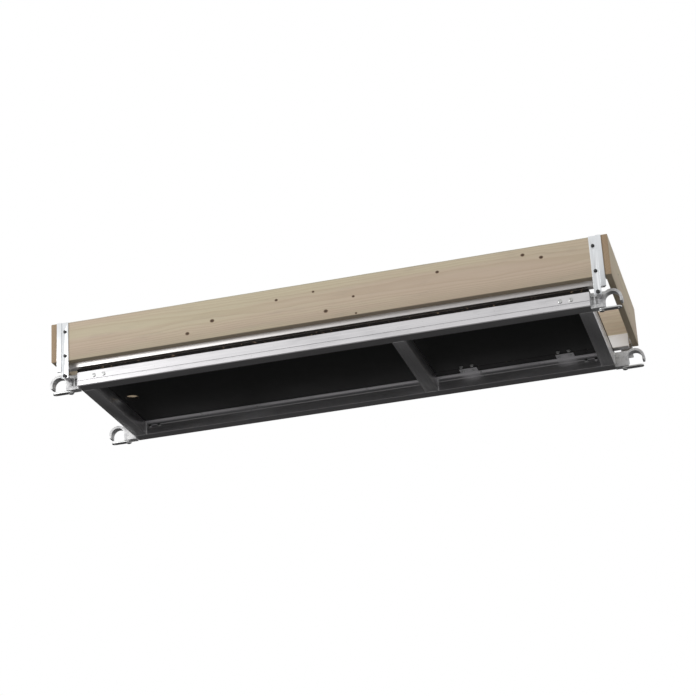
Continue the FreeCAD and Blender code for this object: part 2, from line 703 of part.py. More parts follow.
for end, x_sign in ENDS:
    middle = lid_middle + rest_middle * x_sign
    name = "hatch_rest_" + end
    bar = box(name + "_bar", (middle - rest_length / 2, middle + rest_length / 2),
              (-lid_half + rest_reach, -lid_half + rest_reach - rest_width),
              (deck_bottom - rest_thick, deck_bottom))
    mine = [spot for spot in rest_spots if (spot[0].number - lid_middle.number) * x_sign > 0]
    node(cut(name, bar, rivet_holes(name, mine)), name)
rivets("hatch_rest_rivets", rest_spots)

# ---------------------------------------------------------------- trapdoor latch

bush_top = lid_top + 1.5
bush = fuse("latch_bush_blank", [
    rod("latch_bush_sleeve", bush_radius, bush_top - lid_bottom, (lid_middle, latch_y, lid_bottom), "z"),
    rod("latch_bush_flange", bush_radius + 4, 1.5, (lid_middle, latch_y, lid_top), "z"),
])
bush_bore = rod("latch_bush_bore", latch_spindle / 2 + pivot_play, bush_top - lid_bottom + 2,
                (lid_middle, latch_y, lid_bottom - 1), "z")
node(cut("latch_bush", bush, [bush_bore]), "latch_bush")

knob_bottom = bush_top + lock_play
blade_top = deck_bottom - lock_play
knob = fuse("latch_knob_blank", [
    rod("latch_knob_disc", latch_knob / 2, 5, (lid_middle, latch_y, knob_bottom), "z"),
    box("latch_knob_grip", (lid_middle - latch_knob * 0.42, lid_middle + latch_knob * 0.42),
        (latch_y - 4, latch_y + 4), (knob_bottom, knob_bottom + 12)),
    rod("latch_knob_spindle", latch_spindle / 2, knob_bottom - blade_top + blade_thick,
        (lid_middle, latch_y, knob_bottom), "-z"),
])
node(knob, "latch_knob")
blade = fuse("latch_blade_blank", [
    box("latch_blade_bar", (lid_middle, lid_middle + blade_reach),
        (latch_y - blade_width / 2, latch_y + blade_width / 2), (blade_top - blade_thick, blade_top)),
    rod("latch_blade_eye", blade_width / 2, blade_thick,
        (lid_middle, latch_y, blade_top - blade_thick), "z"),
])
blade_bore = rod("latch_blade_bore", latch_spindle / 2, blade_thick + 2,
                 (lid_middle, latch_y, blade_top - blade_thick - 1), "z")
node(cut("latch_blade", blade, [blade_bore]), "latch_blade")
node(hexagon("latch_nut", 17, 5, (lid_middle, latch_y, blade_top - blade_thick), "-z"), "latch_nut")

# ---------------------------------------------------------------- long toe boards

screw_z = [board_top - screw_first, board_top - screw_first - screw_pitch]
screw_x = bracket_inner_x + (bracket_face - bracket_bead) / 2
rail_half = board_end - rail_gap
rail_screw_z = (board_bottom + rail_bottom + rail_height) / 2
board_screws, rail_screws = [], []
for side, y_sign in SIDES:
    name = "toe_board_" + side
    timber = plank(name + "_timber", (-board_end, board_end),
                   (board_inner * y_sign, board_outer * y_sign), (board_bottom, board_top), "x")
    way = "-y" if y_sign > 0 else "y"
    back = "y" if y_sign > 0 else "-y"
    holes = []
    for end, x_sign in ENDS:
        for index, z in enumerate(screw_z):
            tag = "%s_%s_%d" % (side, end, index)
            spot = (screw_x * x_sign, (board_outer + bracket_wall) * y_sign, z)
            holes.append(rod("board_hole_" + tag, screw_diameter / 2,
                             screw_depth + bracket_wall, spot, way))
            board_screws.append(fuse("board_screw_" + tag, [
                rod("board_screw_%s_shank" % tag, screw_diameter / 2,
                    screw_depth + bracket_wall, spot, way),
                rod("board_screw_%s_washer" % tag, screw_diameter, 1.2, spot, back),
                hexagon("board_screw_%s_head" % tag, screw_diameter * 1.75, 4.5, spot, back),
            ]))

    # The rail is an angle screwed to the board from inside.
    rail_name = "toe_rail_" + side
    body = doc.addObject("PartDesign::Body", rail_name + "_body")
    section = sketch_on(body, "YZ_Plane", rail_name + "_section")
    outline(section, [(as_size(a) * -y_sign, b) for a, b in (
        (0, 0), (rail_foot, 0), (rail_foot, rail_wall), (rail_wall, rail_wall),
        (rail_wall, rail_height), (0, rail_height))])
    pad(body, section, rail_name + "_pad", rail_half * 2)
    place(body, -rail_half, half_width * y_sign, rail_bottom)
    rail_holes = []
    for step in range(-2, 3):
        tag = "%s_%d" % (side, step + 2)
        spot = (rail_screw_pitch * step, (half_width - rail_wall) * y_sign, rail_screw_z)
        length = screw_depth + rail_wall
        for label, list_of_holes in (("rail", rail_holes), ("rail_board", holes)):
            list_of_holes.append(rod("%s_hole_%s" % (label, tag), rail_screw / 2, length, spot, back))
        rail_screws.append(fuse("rail_screw_" + tag, [
            rod("rail_screw_%s_shank" % tag, rail_screw / 2, length, spot, back),
            rod("rail_screw_%s_head" % tag, rail_screw, 2.5, spot, way),
        ]))
    node(cut(rail_name, body, rail_holes), rail_name)
    node(cut(name, timber, holes), name)
node(group("board_screws", board_screws), "board_screws")
node(group("rail_screws", rail_screws), "rail_screws")

# ---------------------------------------------------------------- end toe boards and brackets

end_half = board_outer + bracket_wall
flange_inner = board_inner - bracket_lap
flange_bottom = board_bottom + board_round * 2
end_screw_y = board_inner - bracket_lap / 2
end_screws, foot_bolts, spacers = [], [], []
for end, x_sign in ENDS:
    name = "toe_board_" + end
    timber = plank(name + "_timber",
                   (end_board_inner * x_sign, (end_board_inner + end_board_thick) * x_sign),
                   (-end_half, end_half), (board_bottom, board_top), "y")
    outward = "x" if x_sign > 0 else "-x"
    inward = "-x" if x_sign > 0 else "x"
    holes = []
    for side, y_sign in SIDES:
        for index, z in enumerate(screw_z):
            tag = "%s_%s_%d" % (end, side, index)
            spot = ((end_board_inner - bracket_wall) * x_sign, end_screw_y * y_sign, z)
            holes.append(rod("end_hole_" + tag, screw_diameter / 2,
                             screw_depth + bracket_wall, spot, outward))
            end_screws.append(fuse("end_screw_" + tag, [
                rod("end_screw_%s_shank" % tag, screw_diameter / 2,
                    screw_depth + bracket_wall, spot, outward),
                rod("end_screw_%s_head" % tag, screw_diameter, 2.5, spot, inward),
            ]))
    node(cut(name, timber, holes), name)

for side, y_sign in SIDES:
    for end, x_sign in ENDS:
        name = "corner_bracket_%s_%s" % (side, end)
        body = doc.addObject("PartDesign::Body", name + "_body")
        corner = [
            (0, 0), (bracket_face, 0), (bracket_face, bracket_wall),
            (bracket_bead, bracket_wall), (bracket_bead, bracket_wall + bead_rise),
            (0, bracket_wall + bead_rise),
        ]
        face = sketch_on(body, "XY_Plane", name + "_face")
        outline(face, [(as_size(a) * -x_sign, as_size(b) * y_sign) for a, b in corner])
        full = pad(body, face, name + "_face_pad", board_top - rung_z - bracket_foot)
        doc.recompute()
        soften(body, full, name + "_round", edge_round,
               long_edges(full.Shape, Vector(0, 0, 1)))
        place(body, end_board_inner * x_sign, board_outer * y_sign, rung_z + bracket_foot)
        flange = box(name + "_flange",
                     ((end_board_inner - bracket_wall) * x_sign, end_board_inner * x_sign),
                     (flange_inner * y_sign, (board_outer + bracket_wall / 2) * y_sign),
                     (flange_bottom, board_top))
        way = "-y" if y_sign > 0 else "y"
        back = "y" if y_sign > 0 else "-y"
        outer_y = (board_outer + bracket_wall) * y_sign
        outward = "x" if x_sign > 0 else "-x"
        holes = []
        for index, z in enumerate(screw_z):
            holes.append(rod("%s_face_hole_%d" % (name, index), screw_diameter / 2,
                             bracket_wall + 2, (screw_x * x_sign, outer_y + y_sign, z), way))
            holes.append(rod("%s_side_hole_%d" % (name, index), screw_diameter / 2,
                             bracket_wall + 2,
                             ((end_board_inner - bracket_wall - 1) * x_sign,
                              end_screw_y * y_sign, z), outward))
        # The foot is narrower than the bracket, so that the rung runs past it.
        holes.append(box(name + "_rung_notch",
                         ((end_board_inner - bracket_bead) * x_sign, (end_board_inner + 1) * x_sign),
                         (board_outer * y_sign - y_sign, (end_half + bead_rise + 1) * y_sign),
                         (rung_z, rung_z + rung_radius + saddle_play + 3)))
        foot_spot = (lock_x * x_sign, outer_y, foot_bolt_z)
        holes.append(rod(name + "_foot_hole", foot_bolt / 2, bracket_wall + 2,
                         (foot_spot[0], outer_y + y_sign, foot_bolt_z), way))
        node(cut(name, fuse(name + "_blank", [body, flange]), holes), name)
        label = "foot_bolt_%s_%s" % (side, end)
        foot_bolts.append(fuse(label, [
            rod(label + "_shank", foot_bolt / 2, end_half - claw_outer + foot_bolt_grip,
                foot_spot, way),
            hexagon(label + "_head", foot_bolt * 1.8, 5, foot_spot, back),
        ]))
        label = "bracket_spacer_%s_%s" % (side, end)
        start = (foot_spot[0], board_outer * y_sign, foot_bolt_z)
        tube = rod(label + "_tube", foot_bolt / 2 + spacer_wall, board_outer - claw_outer, start, way)
        bore = rod(label + "_bore", foot_bolt / 2, board_outer - claw_outer, start, way)
        spacers.append(cut(label, tube, [bore]))
node(group("end_board_screws", end_screws), "end_board_screws")
node(group("bracket_foot_bolts", foot_bolts), "bracket_foot_bolts")
node(group("bracket_spacers", spacers), "bracket_spacers")

# ---------------------------------------------------------------- check and write

doc.recompute()
for item in doc.Objects:
    faults = [word for word in item.State if word in ("Invalid", "Error")]
    if faults:
        raise RuntimeError("%s did not build: %s" % (item.Name, faults))
os.makedirs("parts", exist_ok=True)
for item in nodes:
    if item.Shape.isNull() or not item.Shape.isValid() or not item.Shape.Solids:
        raise RuntimeError(item.Label + " has no valid solid")
    item.Shape.exportStep("parts/%s.step" % item.Label)
print(len(nodes), "pieces written")
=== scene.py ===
import math
import random

import bmesh
import bpy
from mathutils import Euler, Matrix, Vector, noise


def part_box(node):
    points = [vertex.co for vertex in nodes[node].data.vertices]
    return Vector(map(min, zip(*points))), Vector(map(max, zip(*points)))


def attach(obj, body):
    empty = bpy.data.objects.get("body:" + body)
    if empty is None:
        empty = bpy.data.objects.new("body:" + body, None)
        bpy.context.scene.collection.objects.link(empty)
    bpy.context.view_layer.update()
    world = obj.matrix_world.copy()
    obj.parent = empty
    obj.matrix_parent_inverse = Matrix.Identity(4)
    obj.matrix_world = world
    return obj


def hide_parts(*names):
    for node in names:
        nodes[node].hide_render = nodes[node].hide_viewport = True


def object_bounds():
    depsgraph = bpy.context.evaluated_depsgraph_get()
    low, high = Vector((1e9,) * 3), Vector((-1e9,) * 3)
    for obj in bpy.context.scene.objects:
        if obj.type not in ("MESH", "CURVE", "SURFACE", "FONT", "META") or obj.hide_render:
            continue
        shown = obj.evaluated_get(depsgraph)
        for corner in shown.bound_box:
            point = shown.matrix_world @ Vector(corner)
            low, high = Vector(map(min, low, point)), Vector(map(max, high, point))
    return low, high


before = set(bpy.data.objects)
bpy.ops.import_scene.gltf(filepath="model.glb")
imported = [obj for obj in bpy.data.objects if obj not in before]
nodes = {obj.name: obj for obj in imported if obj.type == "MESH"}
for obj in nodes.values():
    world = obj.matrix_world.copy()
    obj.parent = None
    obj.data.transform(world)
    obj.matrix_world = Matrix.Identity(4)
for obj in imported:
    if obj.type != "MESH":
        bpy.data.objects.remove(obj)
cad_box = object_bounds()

# A platform of a mobile scaffold tower: an aluminium frame that hangs on the tower's rungs
# by four claws, a plywood deck with a trapdoor, and timber toe boards on all four sides.

scene = bpy.context.scene
SIDES = (("front", -1), ("rear", 1))
ENDS = (("left", -1), ("right", 1))
CORNERS = ["%s_%s" % (side, end) for side, _ in SIDES for end, _ in ENDS]

# ---------------------------------------------------------------- Camera
# A person stands in front of the tower, left of its middle, and looks up at the platform,
# with the camera turned a little anticlockwise.

camera_azimuth, camera_elevation, camera_roll = map(math.radians, (13.95, -22.25, -3.5))
camera_distance = 7.055
aim = (cad_box[0] + cad_box[1]) / 2 + Vector((0, 0, 0.004))
camera = bpy.data.objects.new("Camera", bpy.data.cameras.new("Camera"))
camera.data.lens = 103
camera.data.sensor_width = 36
turn = (Euler((0, 0, camera_azimuth)).to_matrix()
        @ Euler((math.pi / 2 - camera_elevation, 0, 0)).to_matrix()
        @ Euler((0, 0, camera_roll)).to_matrix())
camera.matrix_world = (Matrix.Translation(aim) @ turn.to_4x4()
                       @ Matrix.Translation((0, 0, camera_distance)))
scene.collection.objects.link(camera)
scene.camera = camera

# ---------------------------------------------------------------- Floor and light
# Pale ground a storey below, a bright sky, and one large soft lamp in front, to the left. The
# sky is dim below the horizon and darkest low behind the platform, where the undersides mirror
# it to the camera; the camera itself sees it white. The ground shows, but casts no light.

eye_height = 1.6
ground_half_size = 60
ground_z = camera.matrix_world.translation.z - eye_height
ground_mesh = bmesh.new()
bmesh.ops.create_grid(ground_mesh, x_segments=8, y_segments=8,
                      size=ground_half_size)
bmesh.ops.translate(ground_mesh, vec=(0, 0, ground_z), verts=ground_mesh.verts)
ground = bpy.data.objects.new("ground", bpy.data.meshes.new("ground"))
ground_mesh.to_mesh(ground.data)
ground_mesh.free()
scene.collection.objects.link(ground)
ground.data.materials.append(bpy.data.materials.new("pale_ground"))
ground.active_material.use_nodes = True
ground_shader = ground.active_material.node_tree.nodes["Principled BSDF"]
ground_shader.inputs["Base Color"].default_value = (0.80, 0.80, 0.79, 1)
ground_shader.inputs["Roughness"].default_value = 0.95
ground.visible_diffuse = False
ground.visible_glossy = False

world = bpy.data.worlds.new("Sky")
world.use_nodes = True
scene.world = world
sky = world.node_tree


def sky_node(kind, settings, inputs):
    """Add a node to the sky: its settings, then the values or links of its sockets."""
    made = sky.nodes.new(kind)
    for name, value in settings.items():
        setattr(made, name, value)
    for key, value in inputs.items():
        if isinstance(value, bpy.types.NodeSocket):
            sky.links.new(value, made.inputs[key])
        else:
            made.inputs[key].default_value = value
    return made.outputs


def sky_step(value, start, end, low, high):
    return sky_node("ShaderNodeMapRange", {"interpolation_type": "SMOOTHSTEP"},
                    {0: value, 1: start, 2: end, 3: low, 4: high})[0]


low_behind = (-0.22, 0.90, -0.37)
way = sky_node("ShaderNodeTexCoord", {}, {})[0]
rise = sky_node("ShaderNodeSeparateXYZ", {}, {0: way})[2]
rear_low = sky_node("ShaderNodeVectorMath", {"operation": "DOT_PRODUCT"},
                    {0: way, 1: low_behind})[1]
below = sky_step(rear_low, 0.45, 0.93, 0.26, 0.035)
above = sky_step(rise, 0.0, 1.0, 0.64, 0.92)
level = sky_node("ShaderNodeMix", {}, {0: sky_step(rise, -0.10, 0.03, 0.0, 1.0),
                                       2: below, 3: above})[0]
seen = sky_node("ShaderNodeLightPath", {}, {})["Is Camera Ray"]
level = sky_node("ShaderNodeMix", {}, {0: seen, 2: level, 3: 1.0})[0]
sky.links.new(level, sky.nodes["Background"].inputs["Color"])
scene.view_settings.view_transform = "Standard"

lamp = bpy.data.objects.new("soft_lamp", bpy.data.lights.new("soft_lamp", "AREA"))
lamp.data.shape = "DISK"
lamp.data.size = 3.5
lamp.data.energy = 215
lamp.location = (-5.4, -6.2, 1.2)
lamp.rotation_euler = (aim - lamp.location).to_track_quat("-Z", "Y").to_euler()
scene.collection.objects.link(lamp)

# ---------------------------------------------------------------- Side beams
# Two aluminium extrusions as long as the deck, with a groove along each face and a ledge
# inside that carries the plywood. Mill finish, with fine die lines and some weather.


class Value:
    """An output of a shader node. Arithmetic on it adds Math nodes to its finish."""

    def __init__(self, finish, socket):
        self.finish, self.socket = finish, socket

    def math(self, operation, *others):
        return self.finish.node("ShaderNodeMath", {"operation": operation}, (self,) + others)

    def __add__(self, other):
        return self.math("ADD", other)

    def __sub__(self, other):
        return self.math("SUBTRACT", other)

    def __rsub__(self, other):
        return self.finish.node("ShaderNodeMath", {"operation": "SUBTRACT"}, (other, self))

    def __mul__(self, other):
        return self.math("MULTIPLY", other)

    def __truediv__(self, other):
        return self.math("DIVIDE", other)

    def __pow__(self, other):
        return self.math("POWER", other)

    __radd__ = __add__
    __rmul__ = __mul__

    def rise(self, start, end):
        """0 below start, 1 above end and a smooth step between them."""
        return self.finish.node("ShaderNodeMapRange", {"interpolation_type": "SMOOTHSTEP"},
                                (self, start, end, 0.0, 1.0))


class Finish:
    """A material in the making: its node tree, and the shader that its values feed."""

    def __init__(self, name, **constants):
        self.material = bpy.data.materials.new(name)
        self.material.use_nodes = True
        self.tree = self.material.node_tree
        self.shader = self.tree.nodes["Principled BSDF"]
        for socket, value in constants.items():
            self.shader.inputs[socket.replace("_", " ")].default_value = value

    def node(self, kind, settings=None, inputs=(), output=0):
        """Add a node: its settings first, then the values or links of its sockets."""
        made = self.tree.nodes.new(kind)
        for name, value in (settings or {}).items():
            setattr(made, name, value)
        for key, value in inputs.items() if isinstance(inputs, dict) else enumerate(inputs):
            if isinstance(value, Value):
                self.tree.links.new(value.socket, made.inputs[key])
            else:
                made.inputs[key].default_value = value
        return Value(self, made.outputs[output])

    def where(self, scale=(1, 1, 1), shift=(0, 0, 0)):
        """The place on the object in metres, stretched by a scale for each axis."""
        spot = self.node("ShaderNodeTexCoord", output="Object")
        return self.node("ShaderNodeMapping", None,
                         {"Vector": spot, "Location": shift, "Scale": scale})

    def axes(self, vector):
        return [self.node("ShaderNodeSeparateXYZ", None, (vector,), axis) for axis in range(3)]

    def facing(self):
        """The surface's own direction on the object, as three values."""
        return self.axes(self.node("ShaderNodeTexCoord", output="Normal"))

    def cloud(self, scale, detail=3.0, roughness=0.5, shift=(0, 0, 0)):
        """Noise from 0 to 1, as many cycles a metre along each axis as scale says."""
        if not isinstance(scale, tuple):
            scale = (scale, scale, scale)
        return self.node("ShaderNodeTexNoise", None,
                         {"Vector": self.where(scale, shift), "Scale": 1.0, "Detail": detail,
                          "Roughness": roughness})

    def edge_wear_and_highlight(self):
        """1 on the rounded edges, marked for wear and a painted highlight, 0 elsewhere."""
        return self.node("ShaderNodeAttribute", {"attribute_name": "edge_wear_and_highlight"}, output="Fac")

    def blend(self, factor, one, other, kind="MIX"):
        return self.node("ShaderNodeMix", {"data_type": "RGBA", "blend_type": kind},
                         {0: factor, 6: one, 7: other}, 2)

    def feed(self, socket, value):
        self.tree.links.new(value.socket, self.shader.inputs[socket])

    def relief(self, *heights):
        """Bumps one on the other: each is a height from 0 to 1 and its depth in metres."""
        normal = None
        for height, depth in heights:
            inputs = {"Height": height, "Distance": depth, "Strength": 1.0}
            if normal:
                inputs["Normal"] = normal
            normal = self.node("ShaderNodeBump", None, inputs)
        self.feed("Normal", normal)


def tone(red, green, blue):
    return (red, green, blue, 1)


def along_axis(way, run, across):
    """A scale with one number along an axis and another across it."""
    return tuple(run if axis == way else across for axis in "xyz")


def aluminium(name, way, bright, dull, roughness, weather):
    """Extruded aluminium whose die lines run along one axis, with patches of grey bloom."""
    finish = Finish(name, Metallic=1.0)
    lines = finish.cloud(along_axis(way, 2.5, 900), 2.0)
    bands = finish.cloud(along_axis(way, 0.8, 130), 2.0)
    patches = finish.cloud(along_axis(way, 4, 22), 5.0, 0.62)
    specks = finish.cloud(160, 2.0).rise(0.66, 0.76) * (weather * 0.5)
    bloom = patches.rise(0.42, 0.74) * weather
    colour = finish.blend(lines.rise(0.35, 0.7) * 0.4 + bands * 0.4, bright, dull)
    colour = finish.blend(bloom, colour, tone(*[level * 0.72 for level in dull[:3]]))
    colour = finish.blend(specks, colour, tone(0.16, 0.155, 0.15))
    # Rounded edges lighter: partly wear, partly a painted highlight.
    colour = finish.blend(finish.edge_wear_and_highlight() * 0.6, colour, tone(0.93, 0.93, 0.94))
    finish.feed("Base Color", colour)
    finish.feed("Roughness", roughness + lines * 0.12 + bloom * 0.3)
    finish.relief((lines, 0.00005), (patches, 0.0002))
    return finish.material


def paint(material, *names):
    """Give CAD nodes their finish."""
    for name in names:
        nodes[name].data.materials.clear()
        nodes[name].data.materials.append(material)


pale, grey = tone(0.86, 0.845, 0.86), tone(0.60, 0.595, 0.61)
beam_metal = aluminium("extruded_beam", "x", pale, grey, 0.28, 0.5)
paint(beam_metal, "side_beam_front", "side_beam_rear")

# ---------------------------------------------------------------- End beams and cross beam
# Three box tubes across the frame, sawn square and let in under the side beams' ledges. Each
# is welded up both its sides and across its foot, which leaves rippled, bright beads.


def piece(name, mesh, body, slot, material, *stands_for):
    """Make a mesh a finished piece that rides on a body and stands for CAD nodes."""
    data = bpy.data.meshes.new(name)
    mesh.to_mesh(data)
    mesh.free()
    data.polygons.foreach_set("use_smooth", [True] * len(data.polygons))
    data.set_sharp_from_angle(angle=math.radians(32))
    data.materials.append(material)
    made = bpy.data.objects.new(name, data)
    scene.collection.objects.link(made)
    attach(made, body)
    if stands_for:
        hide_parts(*stands_for)
    return made


def merged(name):
    """A copy of a CAD node's mesh with its loose triangles joined and its flats made whole."""
    mesh = bmesh.new()
    mesh.from_mesh(nodes[name].data)
    bmesh.ops.remove_doubles(mesh, verts=mesh.verts, dist=0.00001)
    bmesh.ops.dissolve_limit(mesh, angle_limit=math.radians(0.5), verts=mesh.verts,
                             edges=mesh.edges)
    return mesh


def rounded(name, radius, body, slot, material, segments=2):
    """A CAD node with its sharp edges rounded off, as dies, moulds and deburring leave them."""
    mesh = merged(name)
    sharp = [edge for edge in mesh.edges
             if edge.is_manifold and edge.calc_face_angle() > math.radians(30)]
    # The rounded faces are marked for edge wear and a painted highlight.
    edge_wear_and_highlight = mesh.faces.layers.float.new("edge_wear_and_highlight")
    made = bmesh.ops.bevel(mesh, geom=sharp, offset=radius, segments=segments, profile=0.5,
                           affect="EDGES", clamp_overlap=True, material=-1)
    for face in made["faces"]:
        face[edge_wear_and_highlight] = 1.0
    return piece(name + "_rounded", mesh, body, slot, material, name)


tie_metal = aluminium("extruded_tie", "y", pale, grey, 0.3, 0.7)
ties = ("end_beam_left", "cross_beam", "end_beam_right")
for name in ties:
    rounded(name, 0.0012, "frame", "mill_aluminium", tie_metal)

weld = Finish("weld_metal", Metallic=1.0)
soot = weld.cloud(240, 3.0).rise(0.5, 0.75)
weld.feed("Base Color", weld.blend(soot, tone(0.90, 0.90, 0.90), tone(0.42, 0.41, 0.40)))
weld.feed("Roughness", 0.34 + soot * 0.25)


def together(*parts):
    """Several meshes as one, each moved by its matrix if it has one."""
    whole = bmesh.new()
    for part in parts:
        mesh, place = part if isinstance(part, tuple) else (part, Matrix())
        data = bpy.data.meshes.new("part")
        mesh.to_mesh(data)
        already = len(whole.verts)
        whole.from_mesh(data)
        whole.verts.ensure_lookup_table()
        bmesh.ops.transform(whole, matrix=place, verts=whole.verts[already:])
        bpy.data.meshes.remove(data)
    return whole


def upright(point, way):
    """The place that stands a shape's Z axis along a way, its foot on a point."""
    return Matrix.Translation(point) @ Vector(way).to_track_quat("Z", "Y").to_matrix().to_4x4()


def bead(start, end, radius, ripple=0.0022):
    """A run of weld: a rod whose skin swells once for each drop of metal laid down."""
    start, run = Vector(start), Vector(end) - Vector(start)
    drops = round(run.length / ripple)
    mesh = bmesh.new()
    bmesh.ops.create_cone(mesh, cap_ends=True, segments=10, radius1=radius,
                          radius2=radius, depth=run.length)
    uprights = [edge for edge in mesh.edges
                if abs(edge.verts[0].co.z - edge.verts[1].co.z) > run.length / 2]
    bmesh.ops.subdivide_edges(mesh, edges=uprights, cuts=drops * 4 - 1, use_grid_fill=True)
    for vert in mesh.verts:
        share = (vert.co.z / run.length + 0.5) * drops
        swell = 0.80 + 0.26 * (share % 1.0) ** 0.5
        swell += 0.08 * noise.noise((share * 0.7, start.x * 40, start.y * 40))
        taper = min(1.0, min(share, drops - share) * 0.6 + 0.45)
        vert.co.x *= swell * taper
        vert.co.y *= swell * taper
    bmesh.ops.translate(mesh, vec=(0, 0, run.length / 2), verts=mesh.verts)
    return mesh, upright(start, run)


bead_size = 0.0032
ledge_thick = 0.003
for name in ties:
    low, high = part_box(name)
    beads = []
    for y in (low.y, high.y):
        for x in (low.x, high.x):
            beads.append(bead((x, y, low.z + 0.001), (x, y, high.z - ledge_thick - 0.001),
                              bead_size))
        foot = low.z + 0.0012
        beads.append(bead((low.x + 0.002, y, foot), (high.x - 0.002, y, foot),
                          bead_size * 0.62))
    piece("weld_beads_" + name, together(*beads), "frame", "mill_aluminium", weld.material)

# ---------------------------------------------------------------- Claws
# Sand-cast aluminium hooks. A long tongue goes into the end of the side beam, and the
# mould's sand leaves a fine grit, rubbed bright where the rung sits and on the edges,
# where a painted highlight is added too.

cast = Finish("cast_aluminium", Metallic=1.0)
grit = cast.cloud(1300, 2.0)
lumps = cast.cloud(220, 3.0)
stain = cast.cloud(60, 4.0, 0.6).rise(0.4, 0.75)
cast_colour = cast.blend(stain, tone(0.74, 0.74, 0.74), tone(0.45, 0.45, 0.46))
# Rounded edges lighter: partly rubbed bright, partly a painted highlight.
cast.feed("Base Color", cast.blend(cast.edge_wear_and_highlight() * 0.7, cast_colour, tone(0.9, 0.9, 0.9)))
cast.feed("Roughness", 0.48 + grit * 0.2 - cast.edge_wear_and_highlight() * 0.2)
cast.relief((grit, 0.0004), (lumps, 0.0006))
for corner in CORNERS:
    rounded("claw_" + corner, 0.0014, "frame", "cast_aluminium", cast.material, 3)

# ---------------------------------------------------------------- Claw bolts
# Two zinc-plated bolts through each beam and tongue: a low round head with a hexagon socket
# outside, and a hexagon nut inside the frame.


def solids(name):
    """The lowest and highest corner of each separate solid in a CAD node."""
    mesh = merged(name)
    left = set(mesh.verts)
    boxes = []
    while left:
        found, edge_of = set(), [left.pop()]
        while edge_of:
            vert = edge_of.pop()
            found.add(vert)
            for edge in vert.link_edges:
                other = edge.other_vert(vert)
                if other in left:
                    left.discard(other)
                    edge_of.append(other)
        places = [vert.co for vert in found]
        boxes.append((Vector(map(min, *places)), Vector(map(max, *places))))
    mesh.free()
    return sorted(boxes, key=lambda box: tuple(round(value, 5) for value in box[0]))


def turned(outline, steps=28):
    """A round shape on the Z axis from an outline of radii and heights, both ends on it."""
    mesh = bmesh.new()
    verts = [mesh.verts.new((radius, 0, height)) for radius, height in outline]
    edges = [mesh.edges.new(pair) for pair in zip(verts, verts[1:])]
    bmesh.ops.spin(mesh, geom=verts + edges, cent=(0, 0, 0), axis=(0, 0, 1),
                   angle=2 * math.pi, steps=steps, use_merge=True, use_duplicate=False)
    bmesh.ops.remove_doubles(mesh, verts=mesh.verts, dist=0.000002)
    bmesh.ops.recalc_face_normals(mesh, faces=mesh.faces)
    return mesh


def hexagon(across, thick, base=0.0):
    """A hexagonal nut or head from base upwards, chamfered at its corners."""
    mesh = bmesh.new()
    bmesh.ops.create_cone(mesh, cap_ends=True, segments=6, radius1=across / 2,
                          radius2=across / 2, depth=thick)
    rims = [edge for edge in mesh.edges if edge.verts[0].co.z * edge.verts[1].co.z > 0]
    bmesh.ops.bevel(mesh, geom=rims, offset=thick * 0.13, segments=2, profile=0.5,
                    affect="EDGES", material=-1)
    bmesh.ops.translate(mesh, vec=(0, 0, base + thick / 2), verts=mesh.verts)
    return mesh


def middle_of(box):
    return (box[0] + box[1]) / 2


zinc = Finish("zinc_plate", Metallic=1.0)
spangle = zinc.cloud(420, 3.0)
white_rust = zinc.cloud(150, 3.0).rise(0.58, 0.75)
zinc_colour = zinc.blend(spangle, tone(0.62, 0.64, 0.66), tone(0.74, 0.73, 0.70))
zinc_colour = zinc.blend(white_rust * 0.5, zinc_colour, tone(0.50, 0.50, 0.49))
# Rounded edges lighter: partly wear, partly a painted highlight.
zinc.feed("Base Color", zinc.blend(zinc.edge_wear_and_highlight() * 0.5, zinc_colour, tone(0.8, 0.8, 0.8)))
zinc.feed("Roughness", 0.28 + spangle * 0.14 + white_rust * 0.25)
zinc.relief((spangle, 0.00008))

head_rise, nut_thick = 0.0022, 0.005
places = solids("claw_bolts")
head_radius = (places[0][1].x - places[0][0].x) / 2
socket = head_radius * 0.42
pan_head = turned([(0, -0.004), (head_radius * 0.55, -0.004), (head_radius * 0.55, 0),
                   (head_radius * 0.97, 0), (head_radius, head_rise * 0.4),
                   (head_radius * 0.86, head_rise * 0.8), (head_radius * 0.6, head_rise),
                   (socket, head_rise), (socket, head_rise * 0.2), (0, head_rise * 0.1)])
nut = hexagon(head_radius * 2, nut_thick)
thread_end = turned([(0, 0), (head_radius * 0.55, 0), (head_radius * 0.55, nut_thick - 0.0004),
                     (head_radius * 0.47, nut_thick), (0, nut_thick)])
shapes = []
for box in places:
    middle = middle_of(box)
    outward = math.copysign(1, middle.y)
    outer = max(abs(box[0].y), abs(box[1].y)) - head_rise
    inner = min(abs(box[0].y), abs(box[1].y)) + nut_thick
    shapes.append((pan_head, upright((middle.x, outer * outward, middle.z), (0, outward, 0))))
    for shape in (nut, thread_end):
        shapes.append((shape, upright((middle.x, inner * outward, middle.z),
                                      (0, -outward, 0))))
piece("claw_bolts_turned", together(*shapes), "frame", "zinc_steel", zinc.material,
      "claw_bolts")

# ---------------------------------------------------------------- Wind locks
# Flat zinc-plated catches that swing under the rung, each on a hexagon bolt from below.

for corner in CORNERS:
    name = "wind_lock_" + corner
    rounded(name, 0.0008, name, "zinc_steel", zinc.material)
places = solids("wind_lock_bolts")
head_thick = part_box("wind_lock_front_left")[0].z - 0.0003
across = places[0][1].x - places[0][0].x
lock_radius = 0.005
top = places[0][1].z
shank = turned([(0, head_thick * 0.5), (lock_radius, head_thick * 0.5),
                (lock_radius, top - 0.001), (lock_radius - 0.001, top), (0, top)])
head = hexagon(across, head_thick)
shapes = []
for box in places:
    middle = middle_of(box)
    for shape in (head, shank):
        shapes.append((shape, upright((middle.x, middle.y, 0), (0, 0, 1))))
piece("wind_lock_bolts_turned", together(*shapes), "frame", "zinc_steel", zinc.material,
      "wind_lock_bolts")
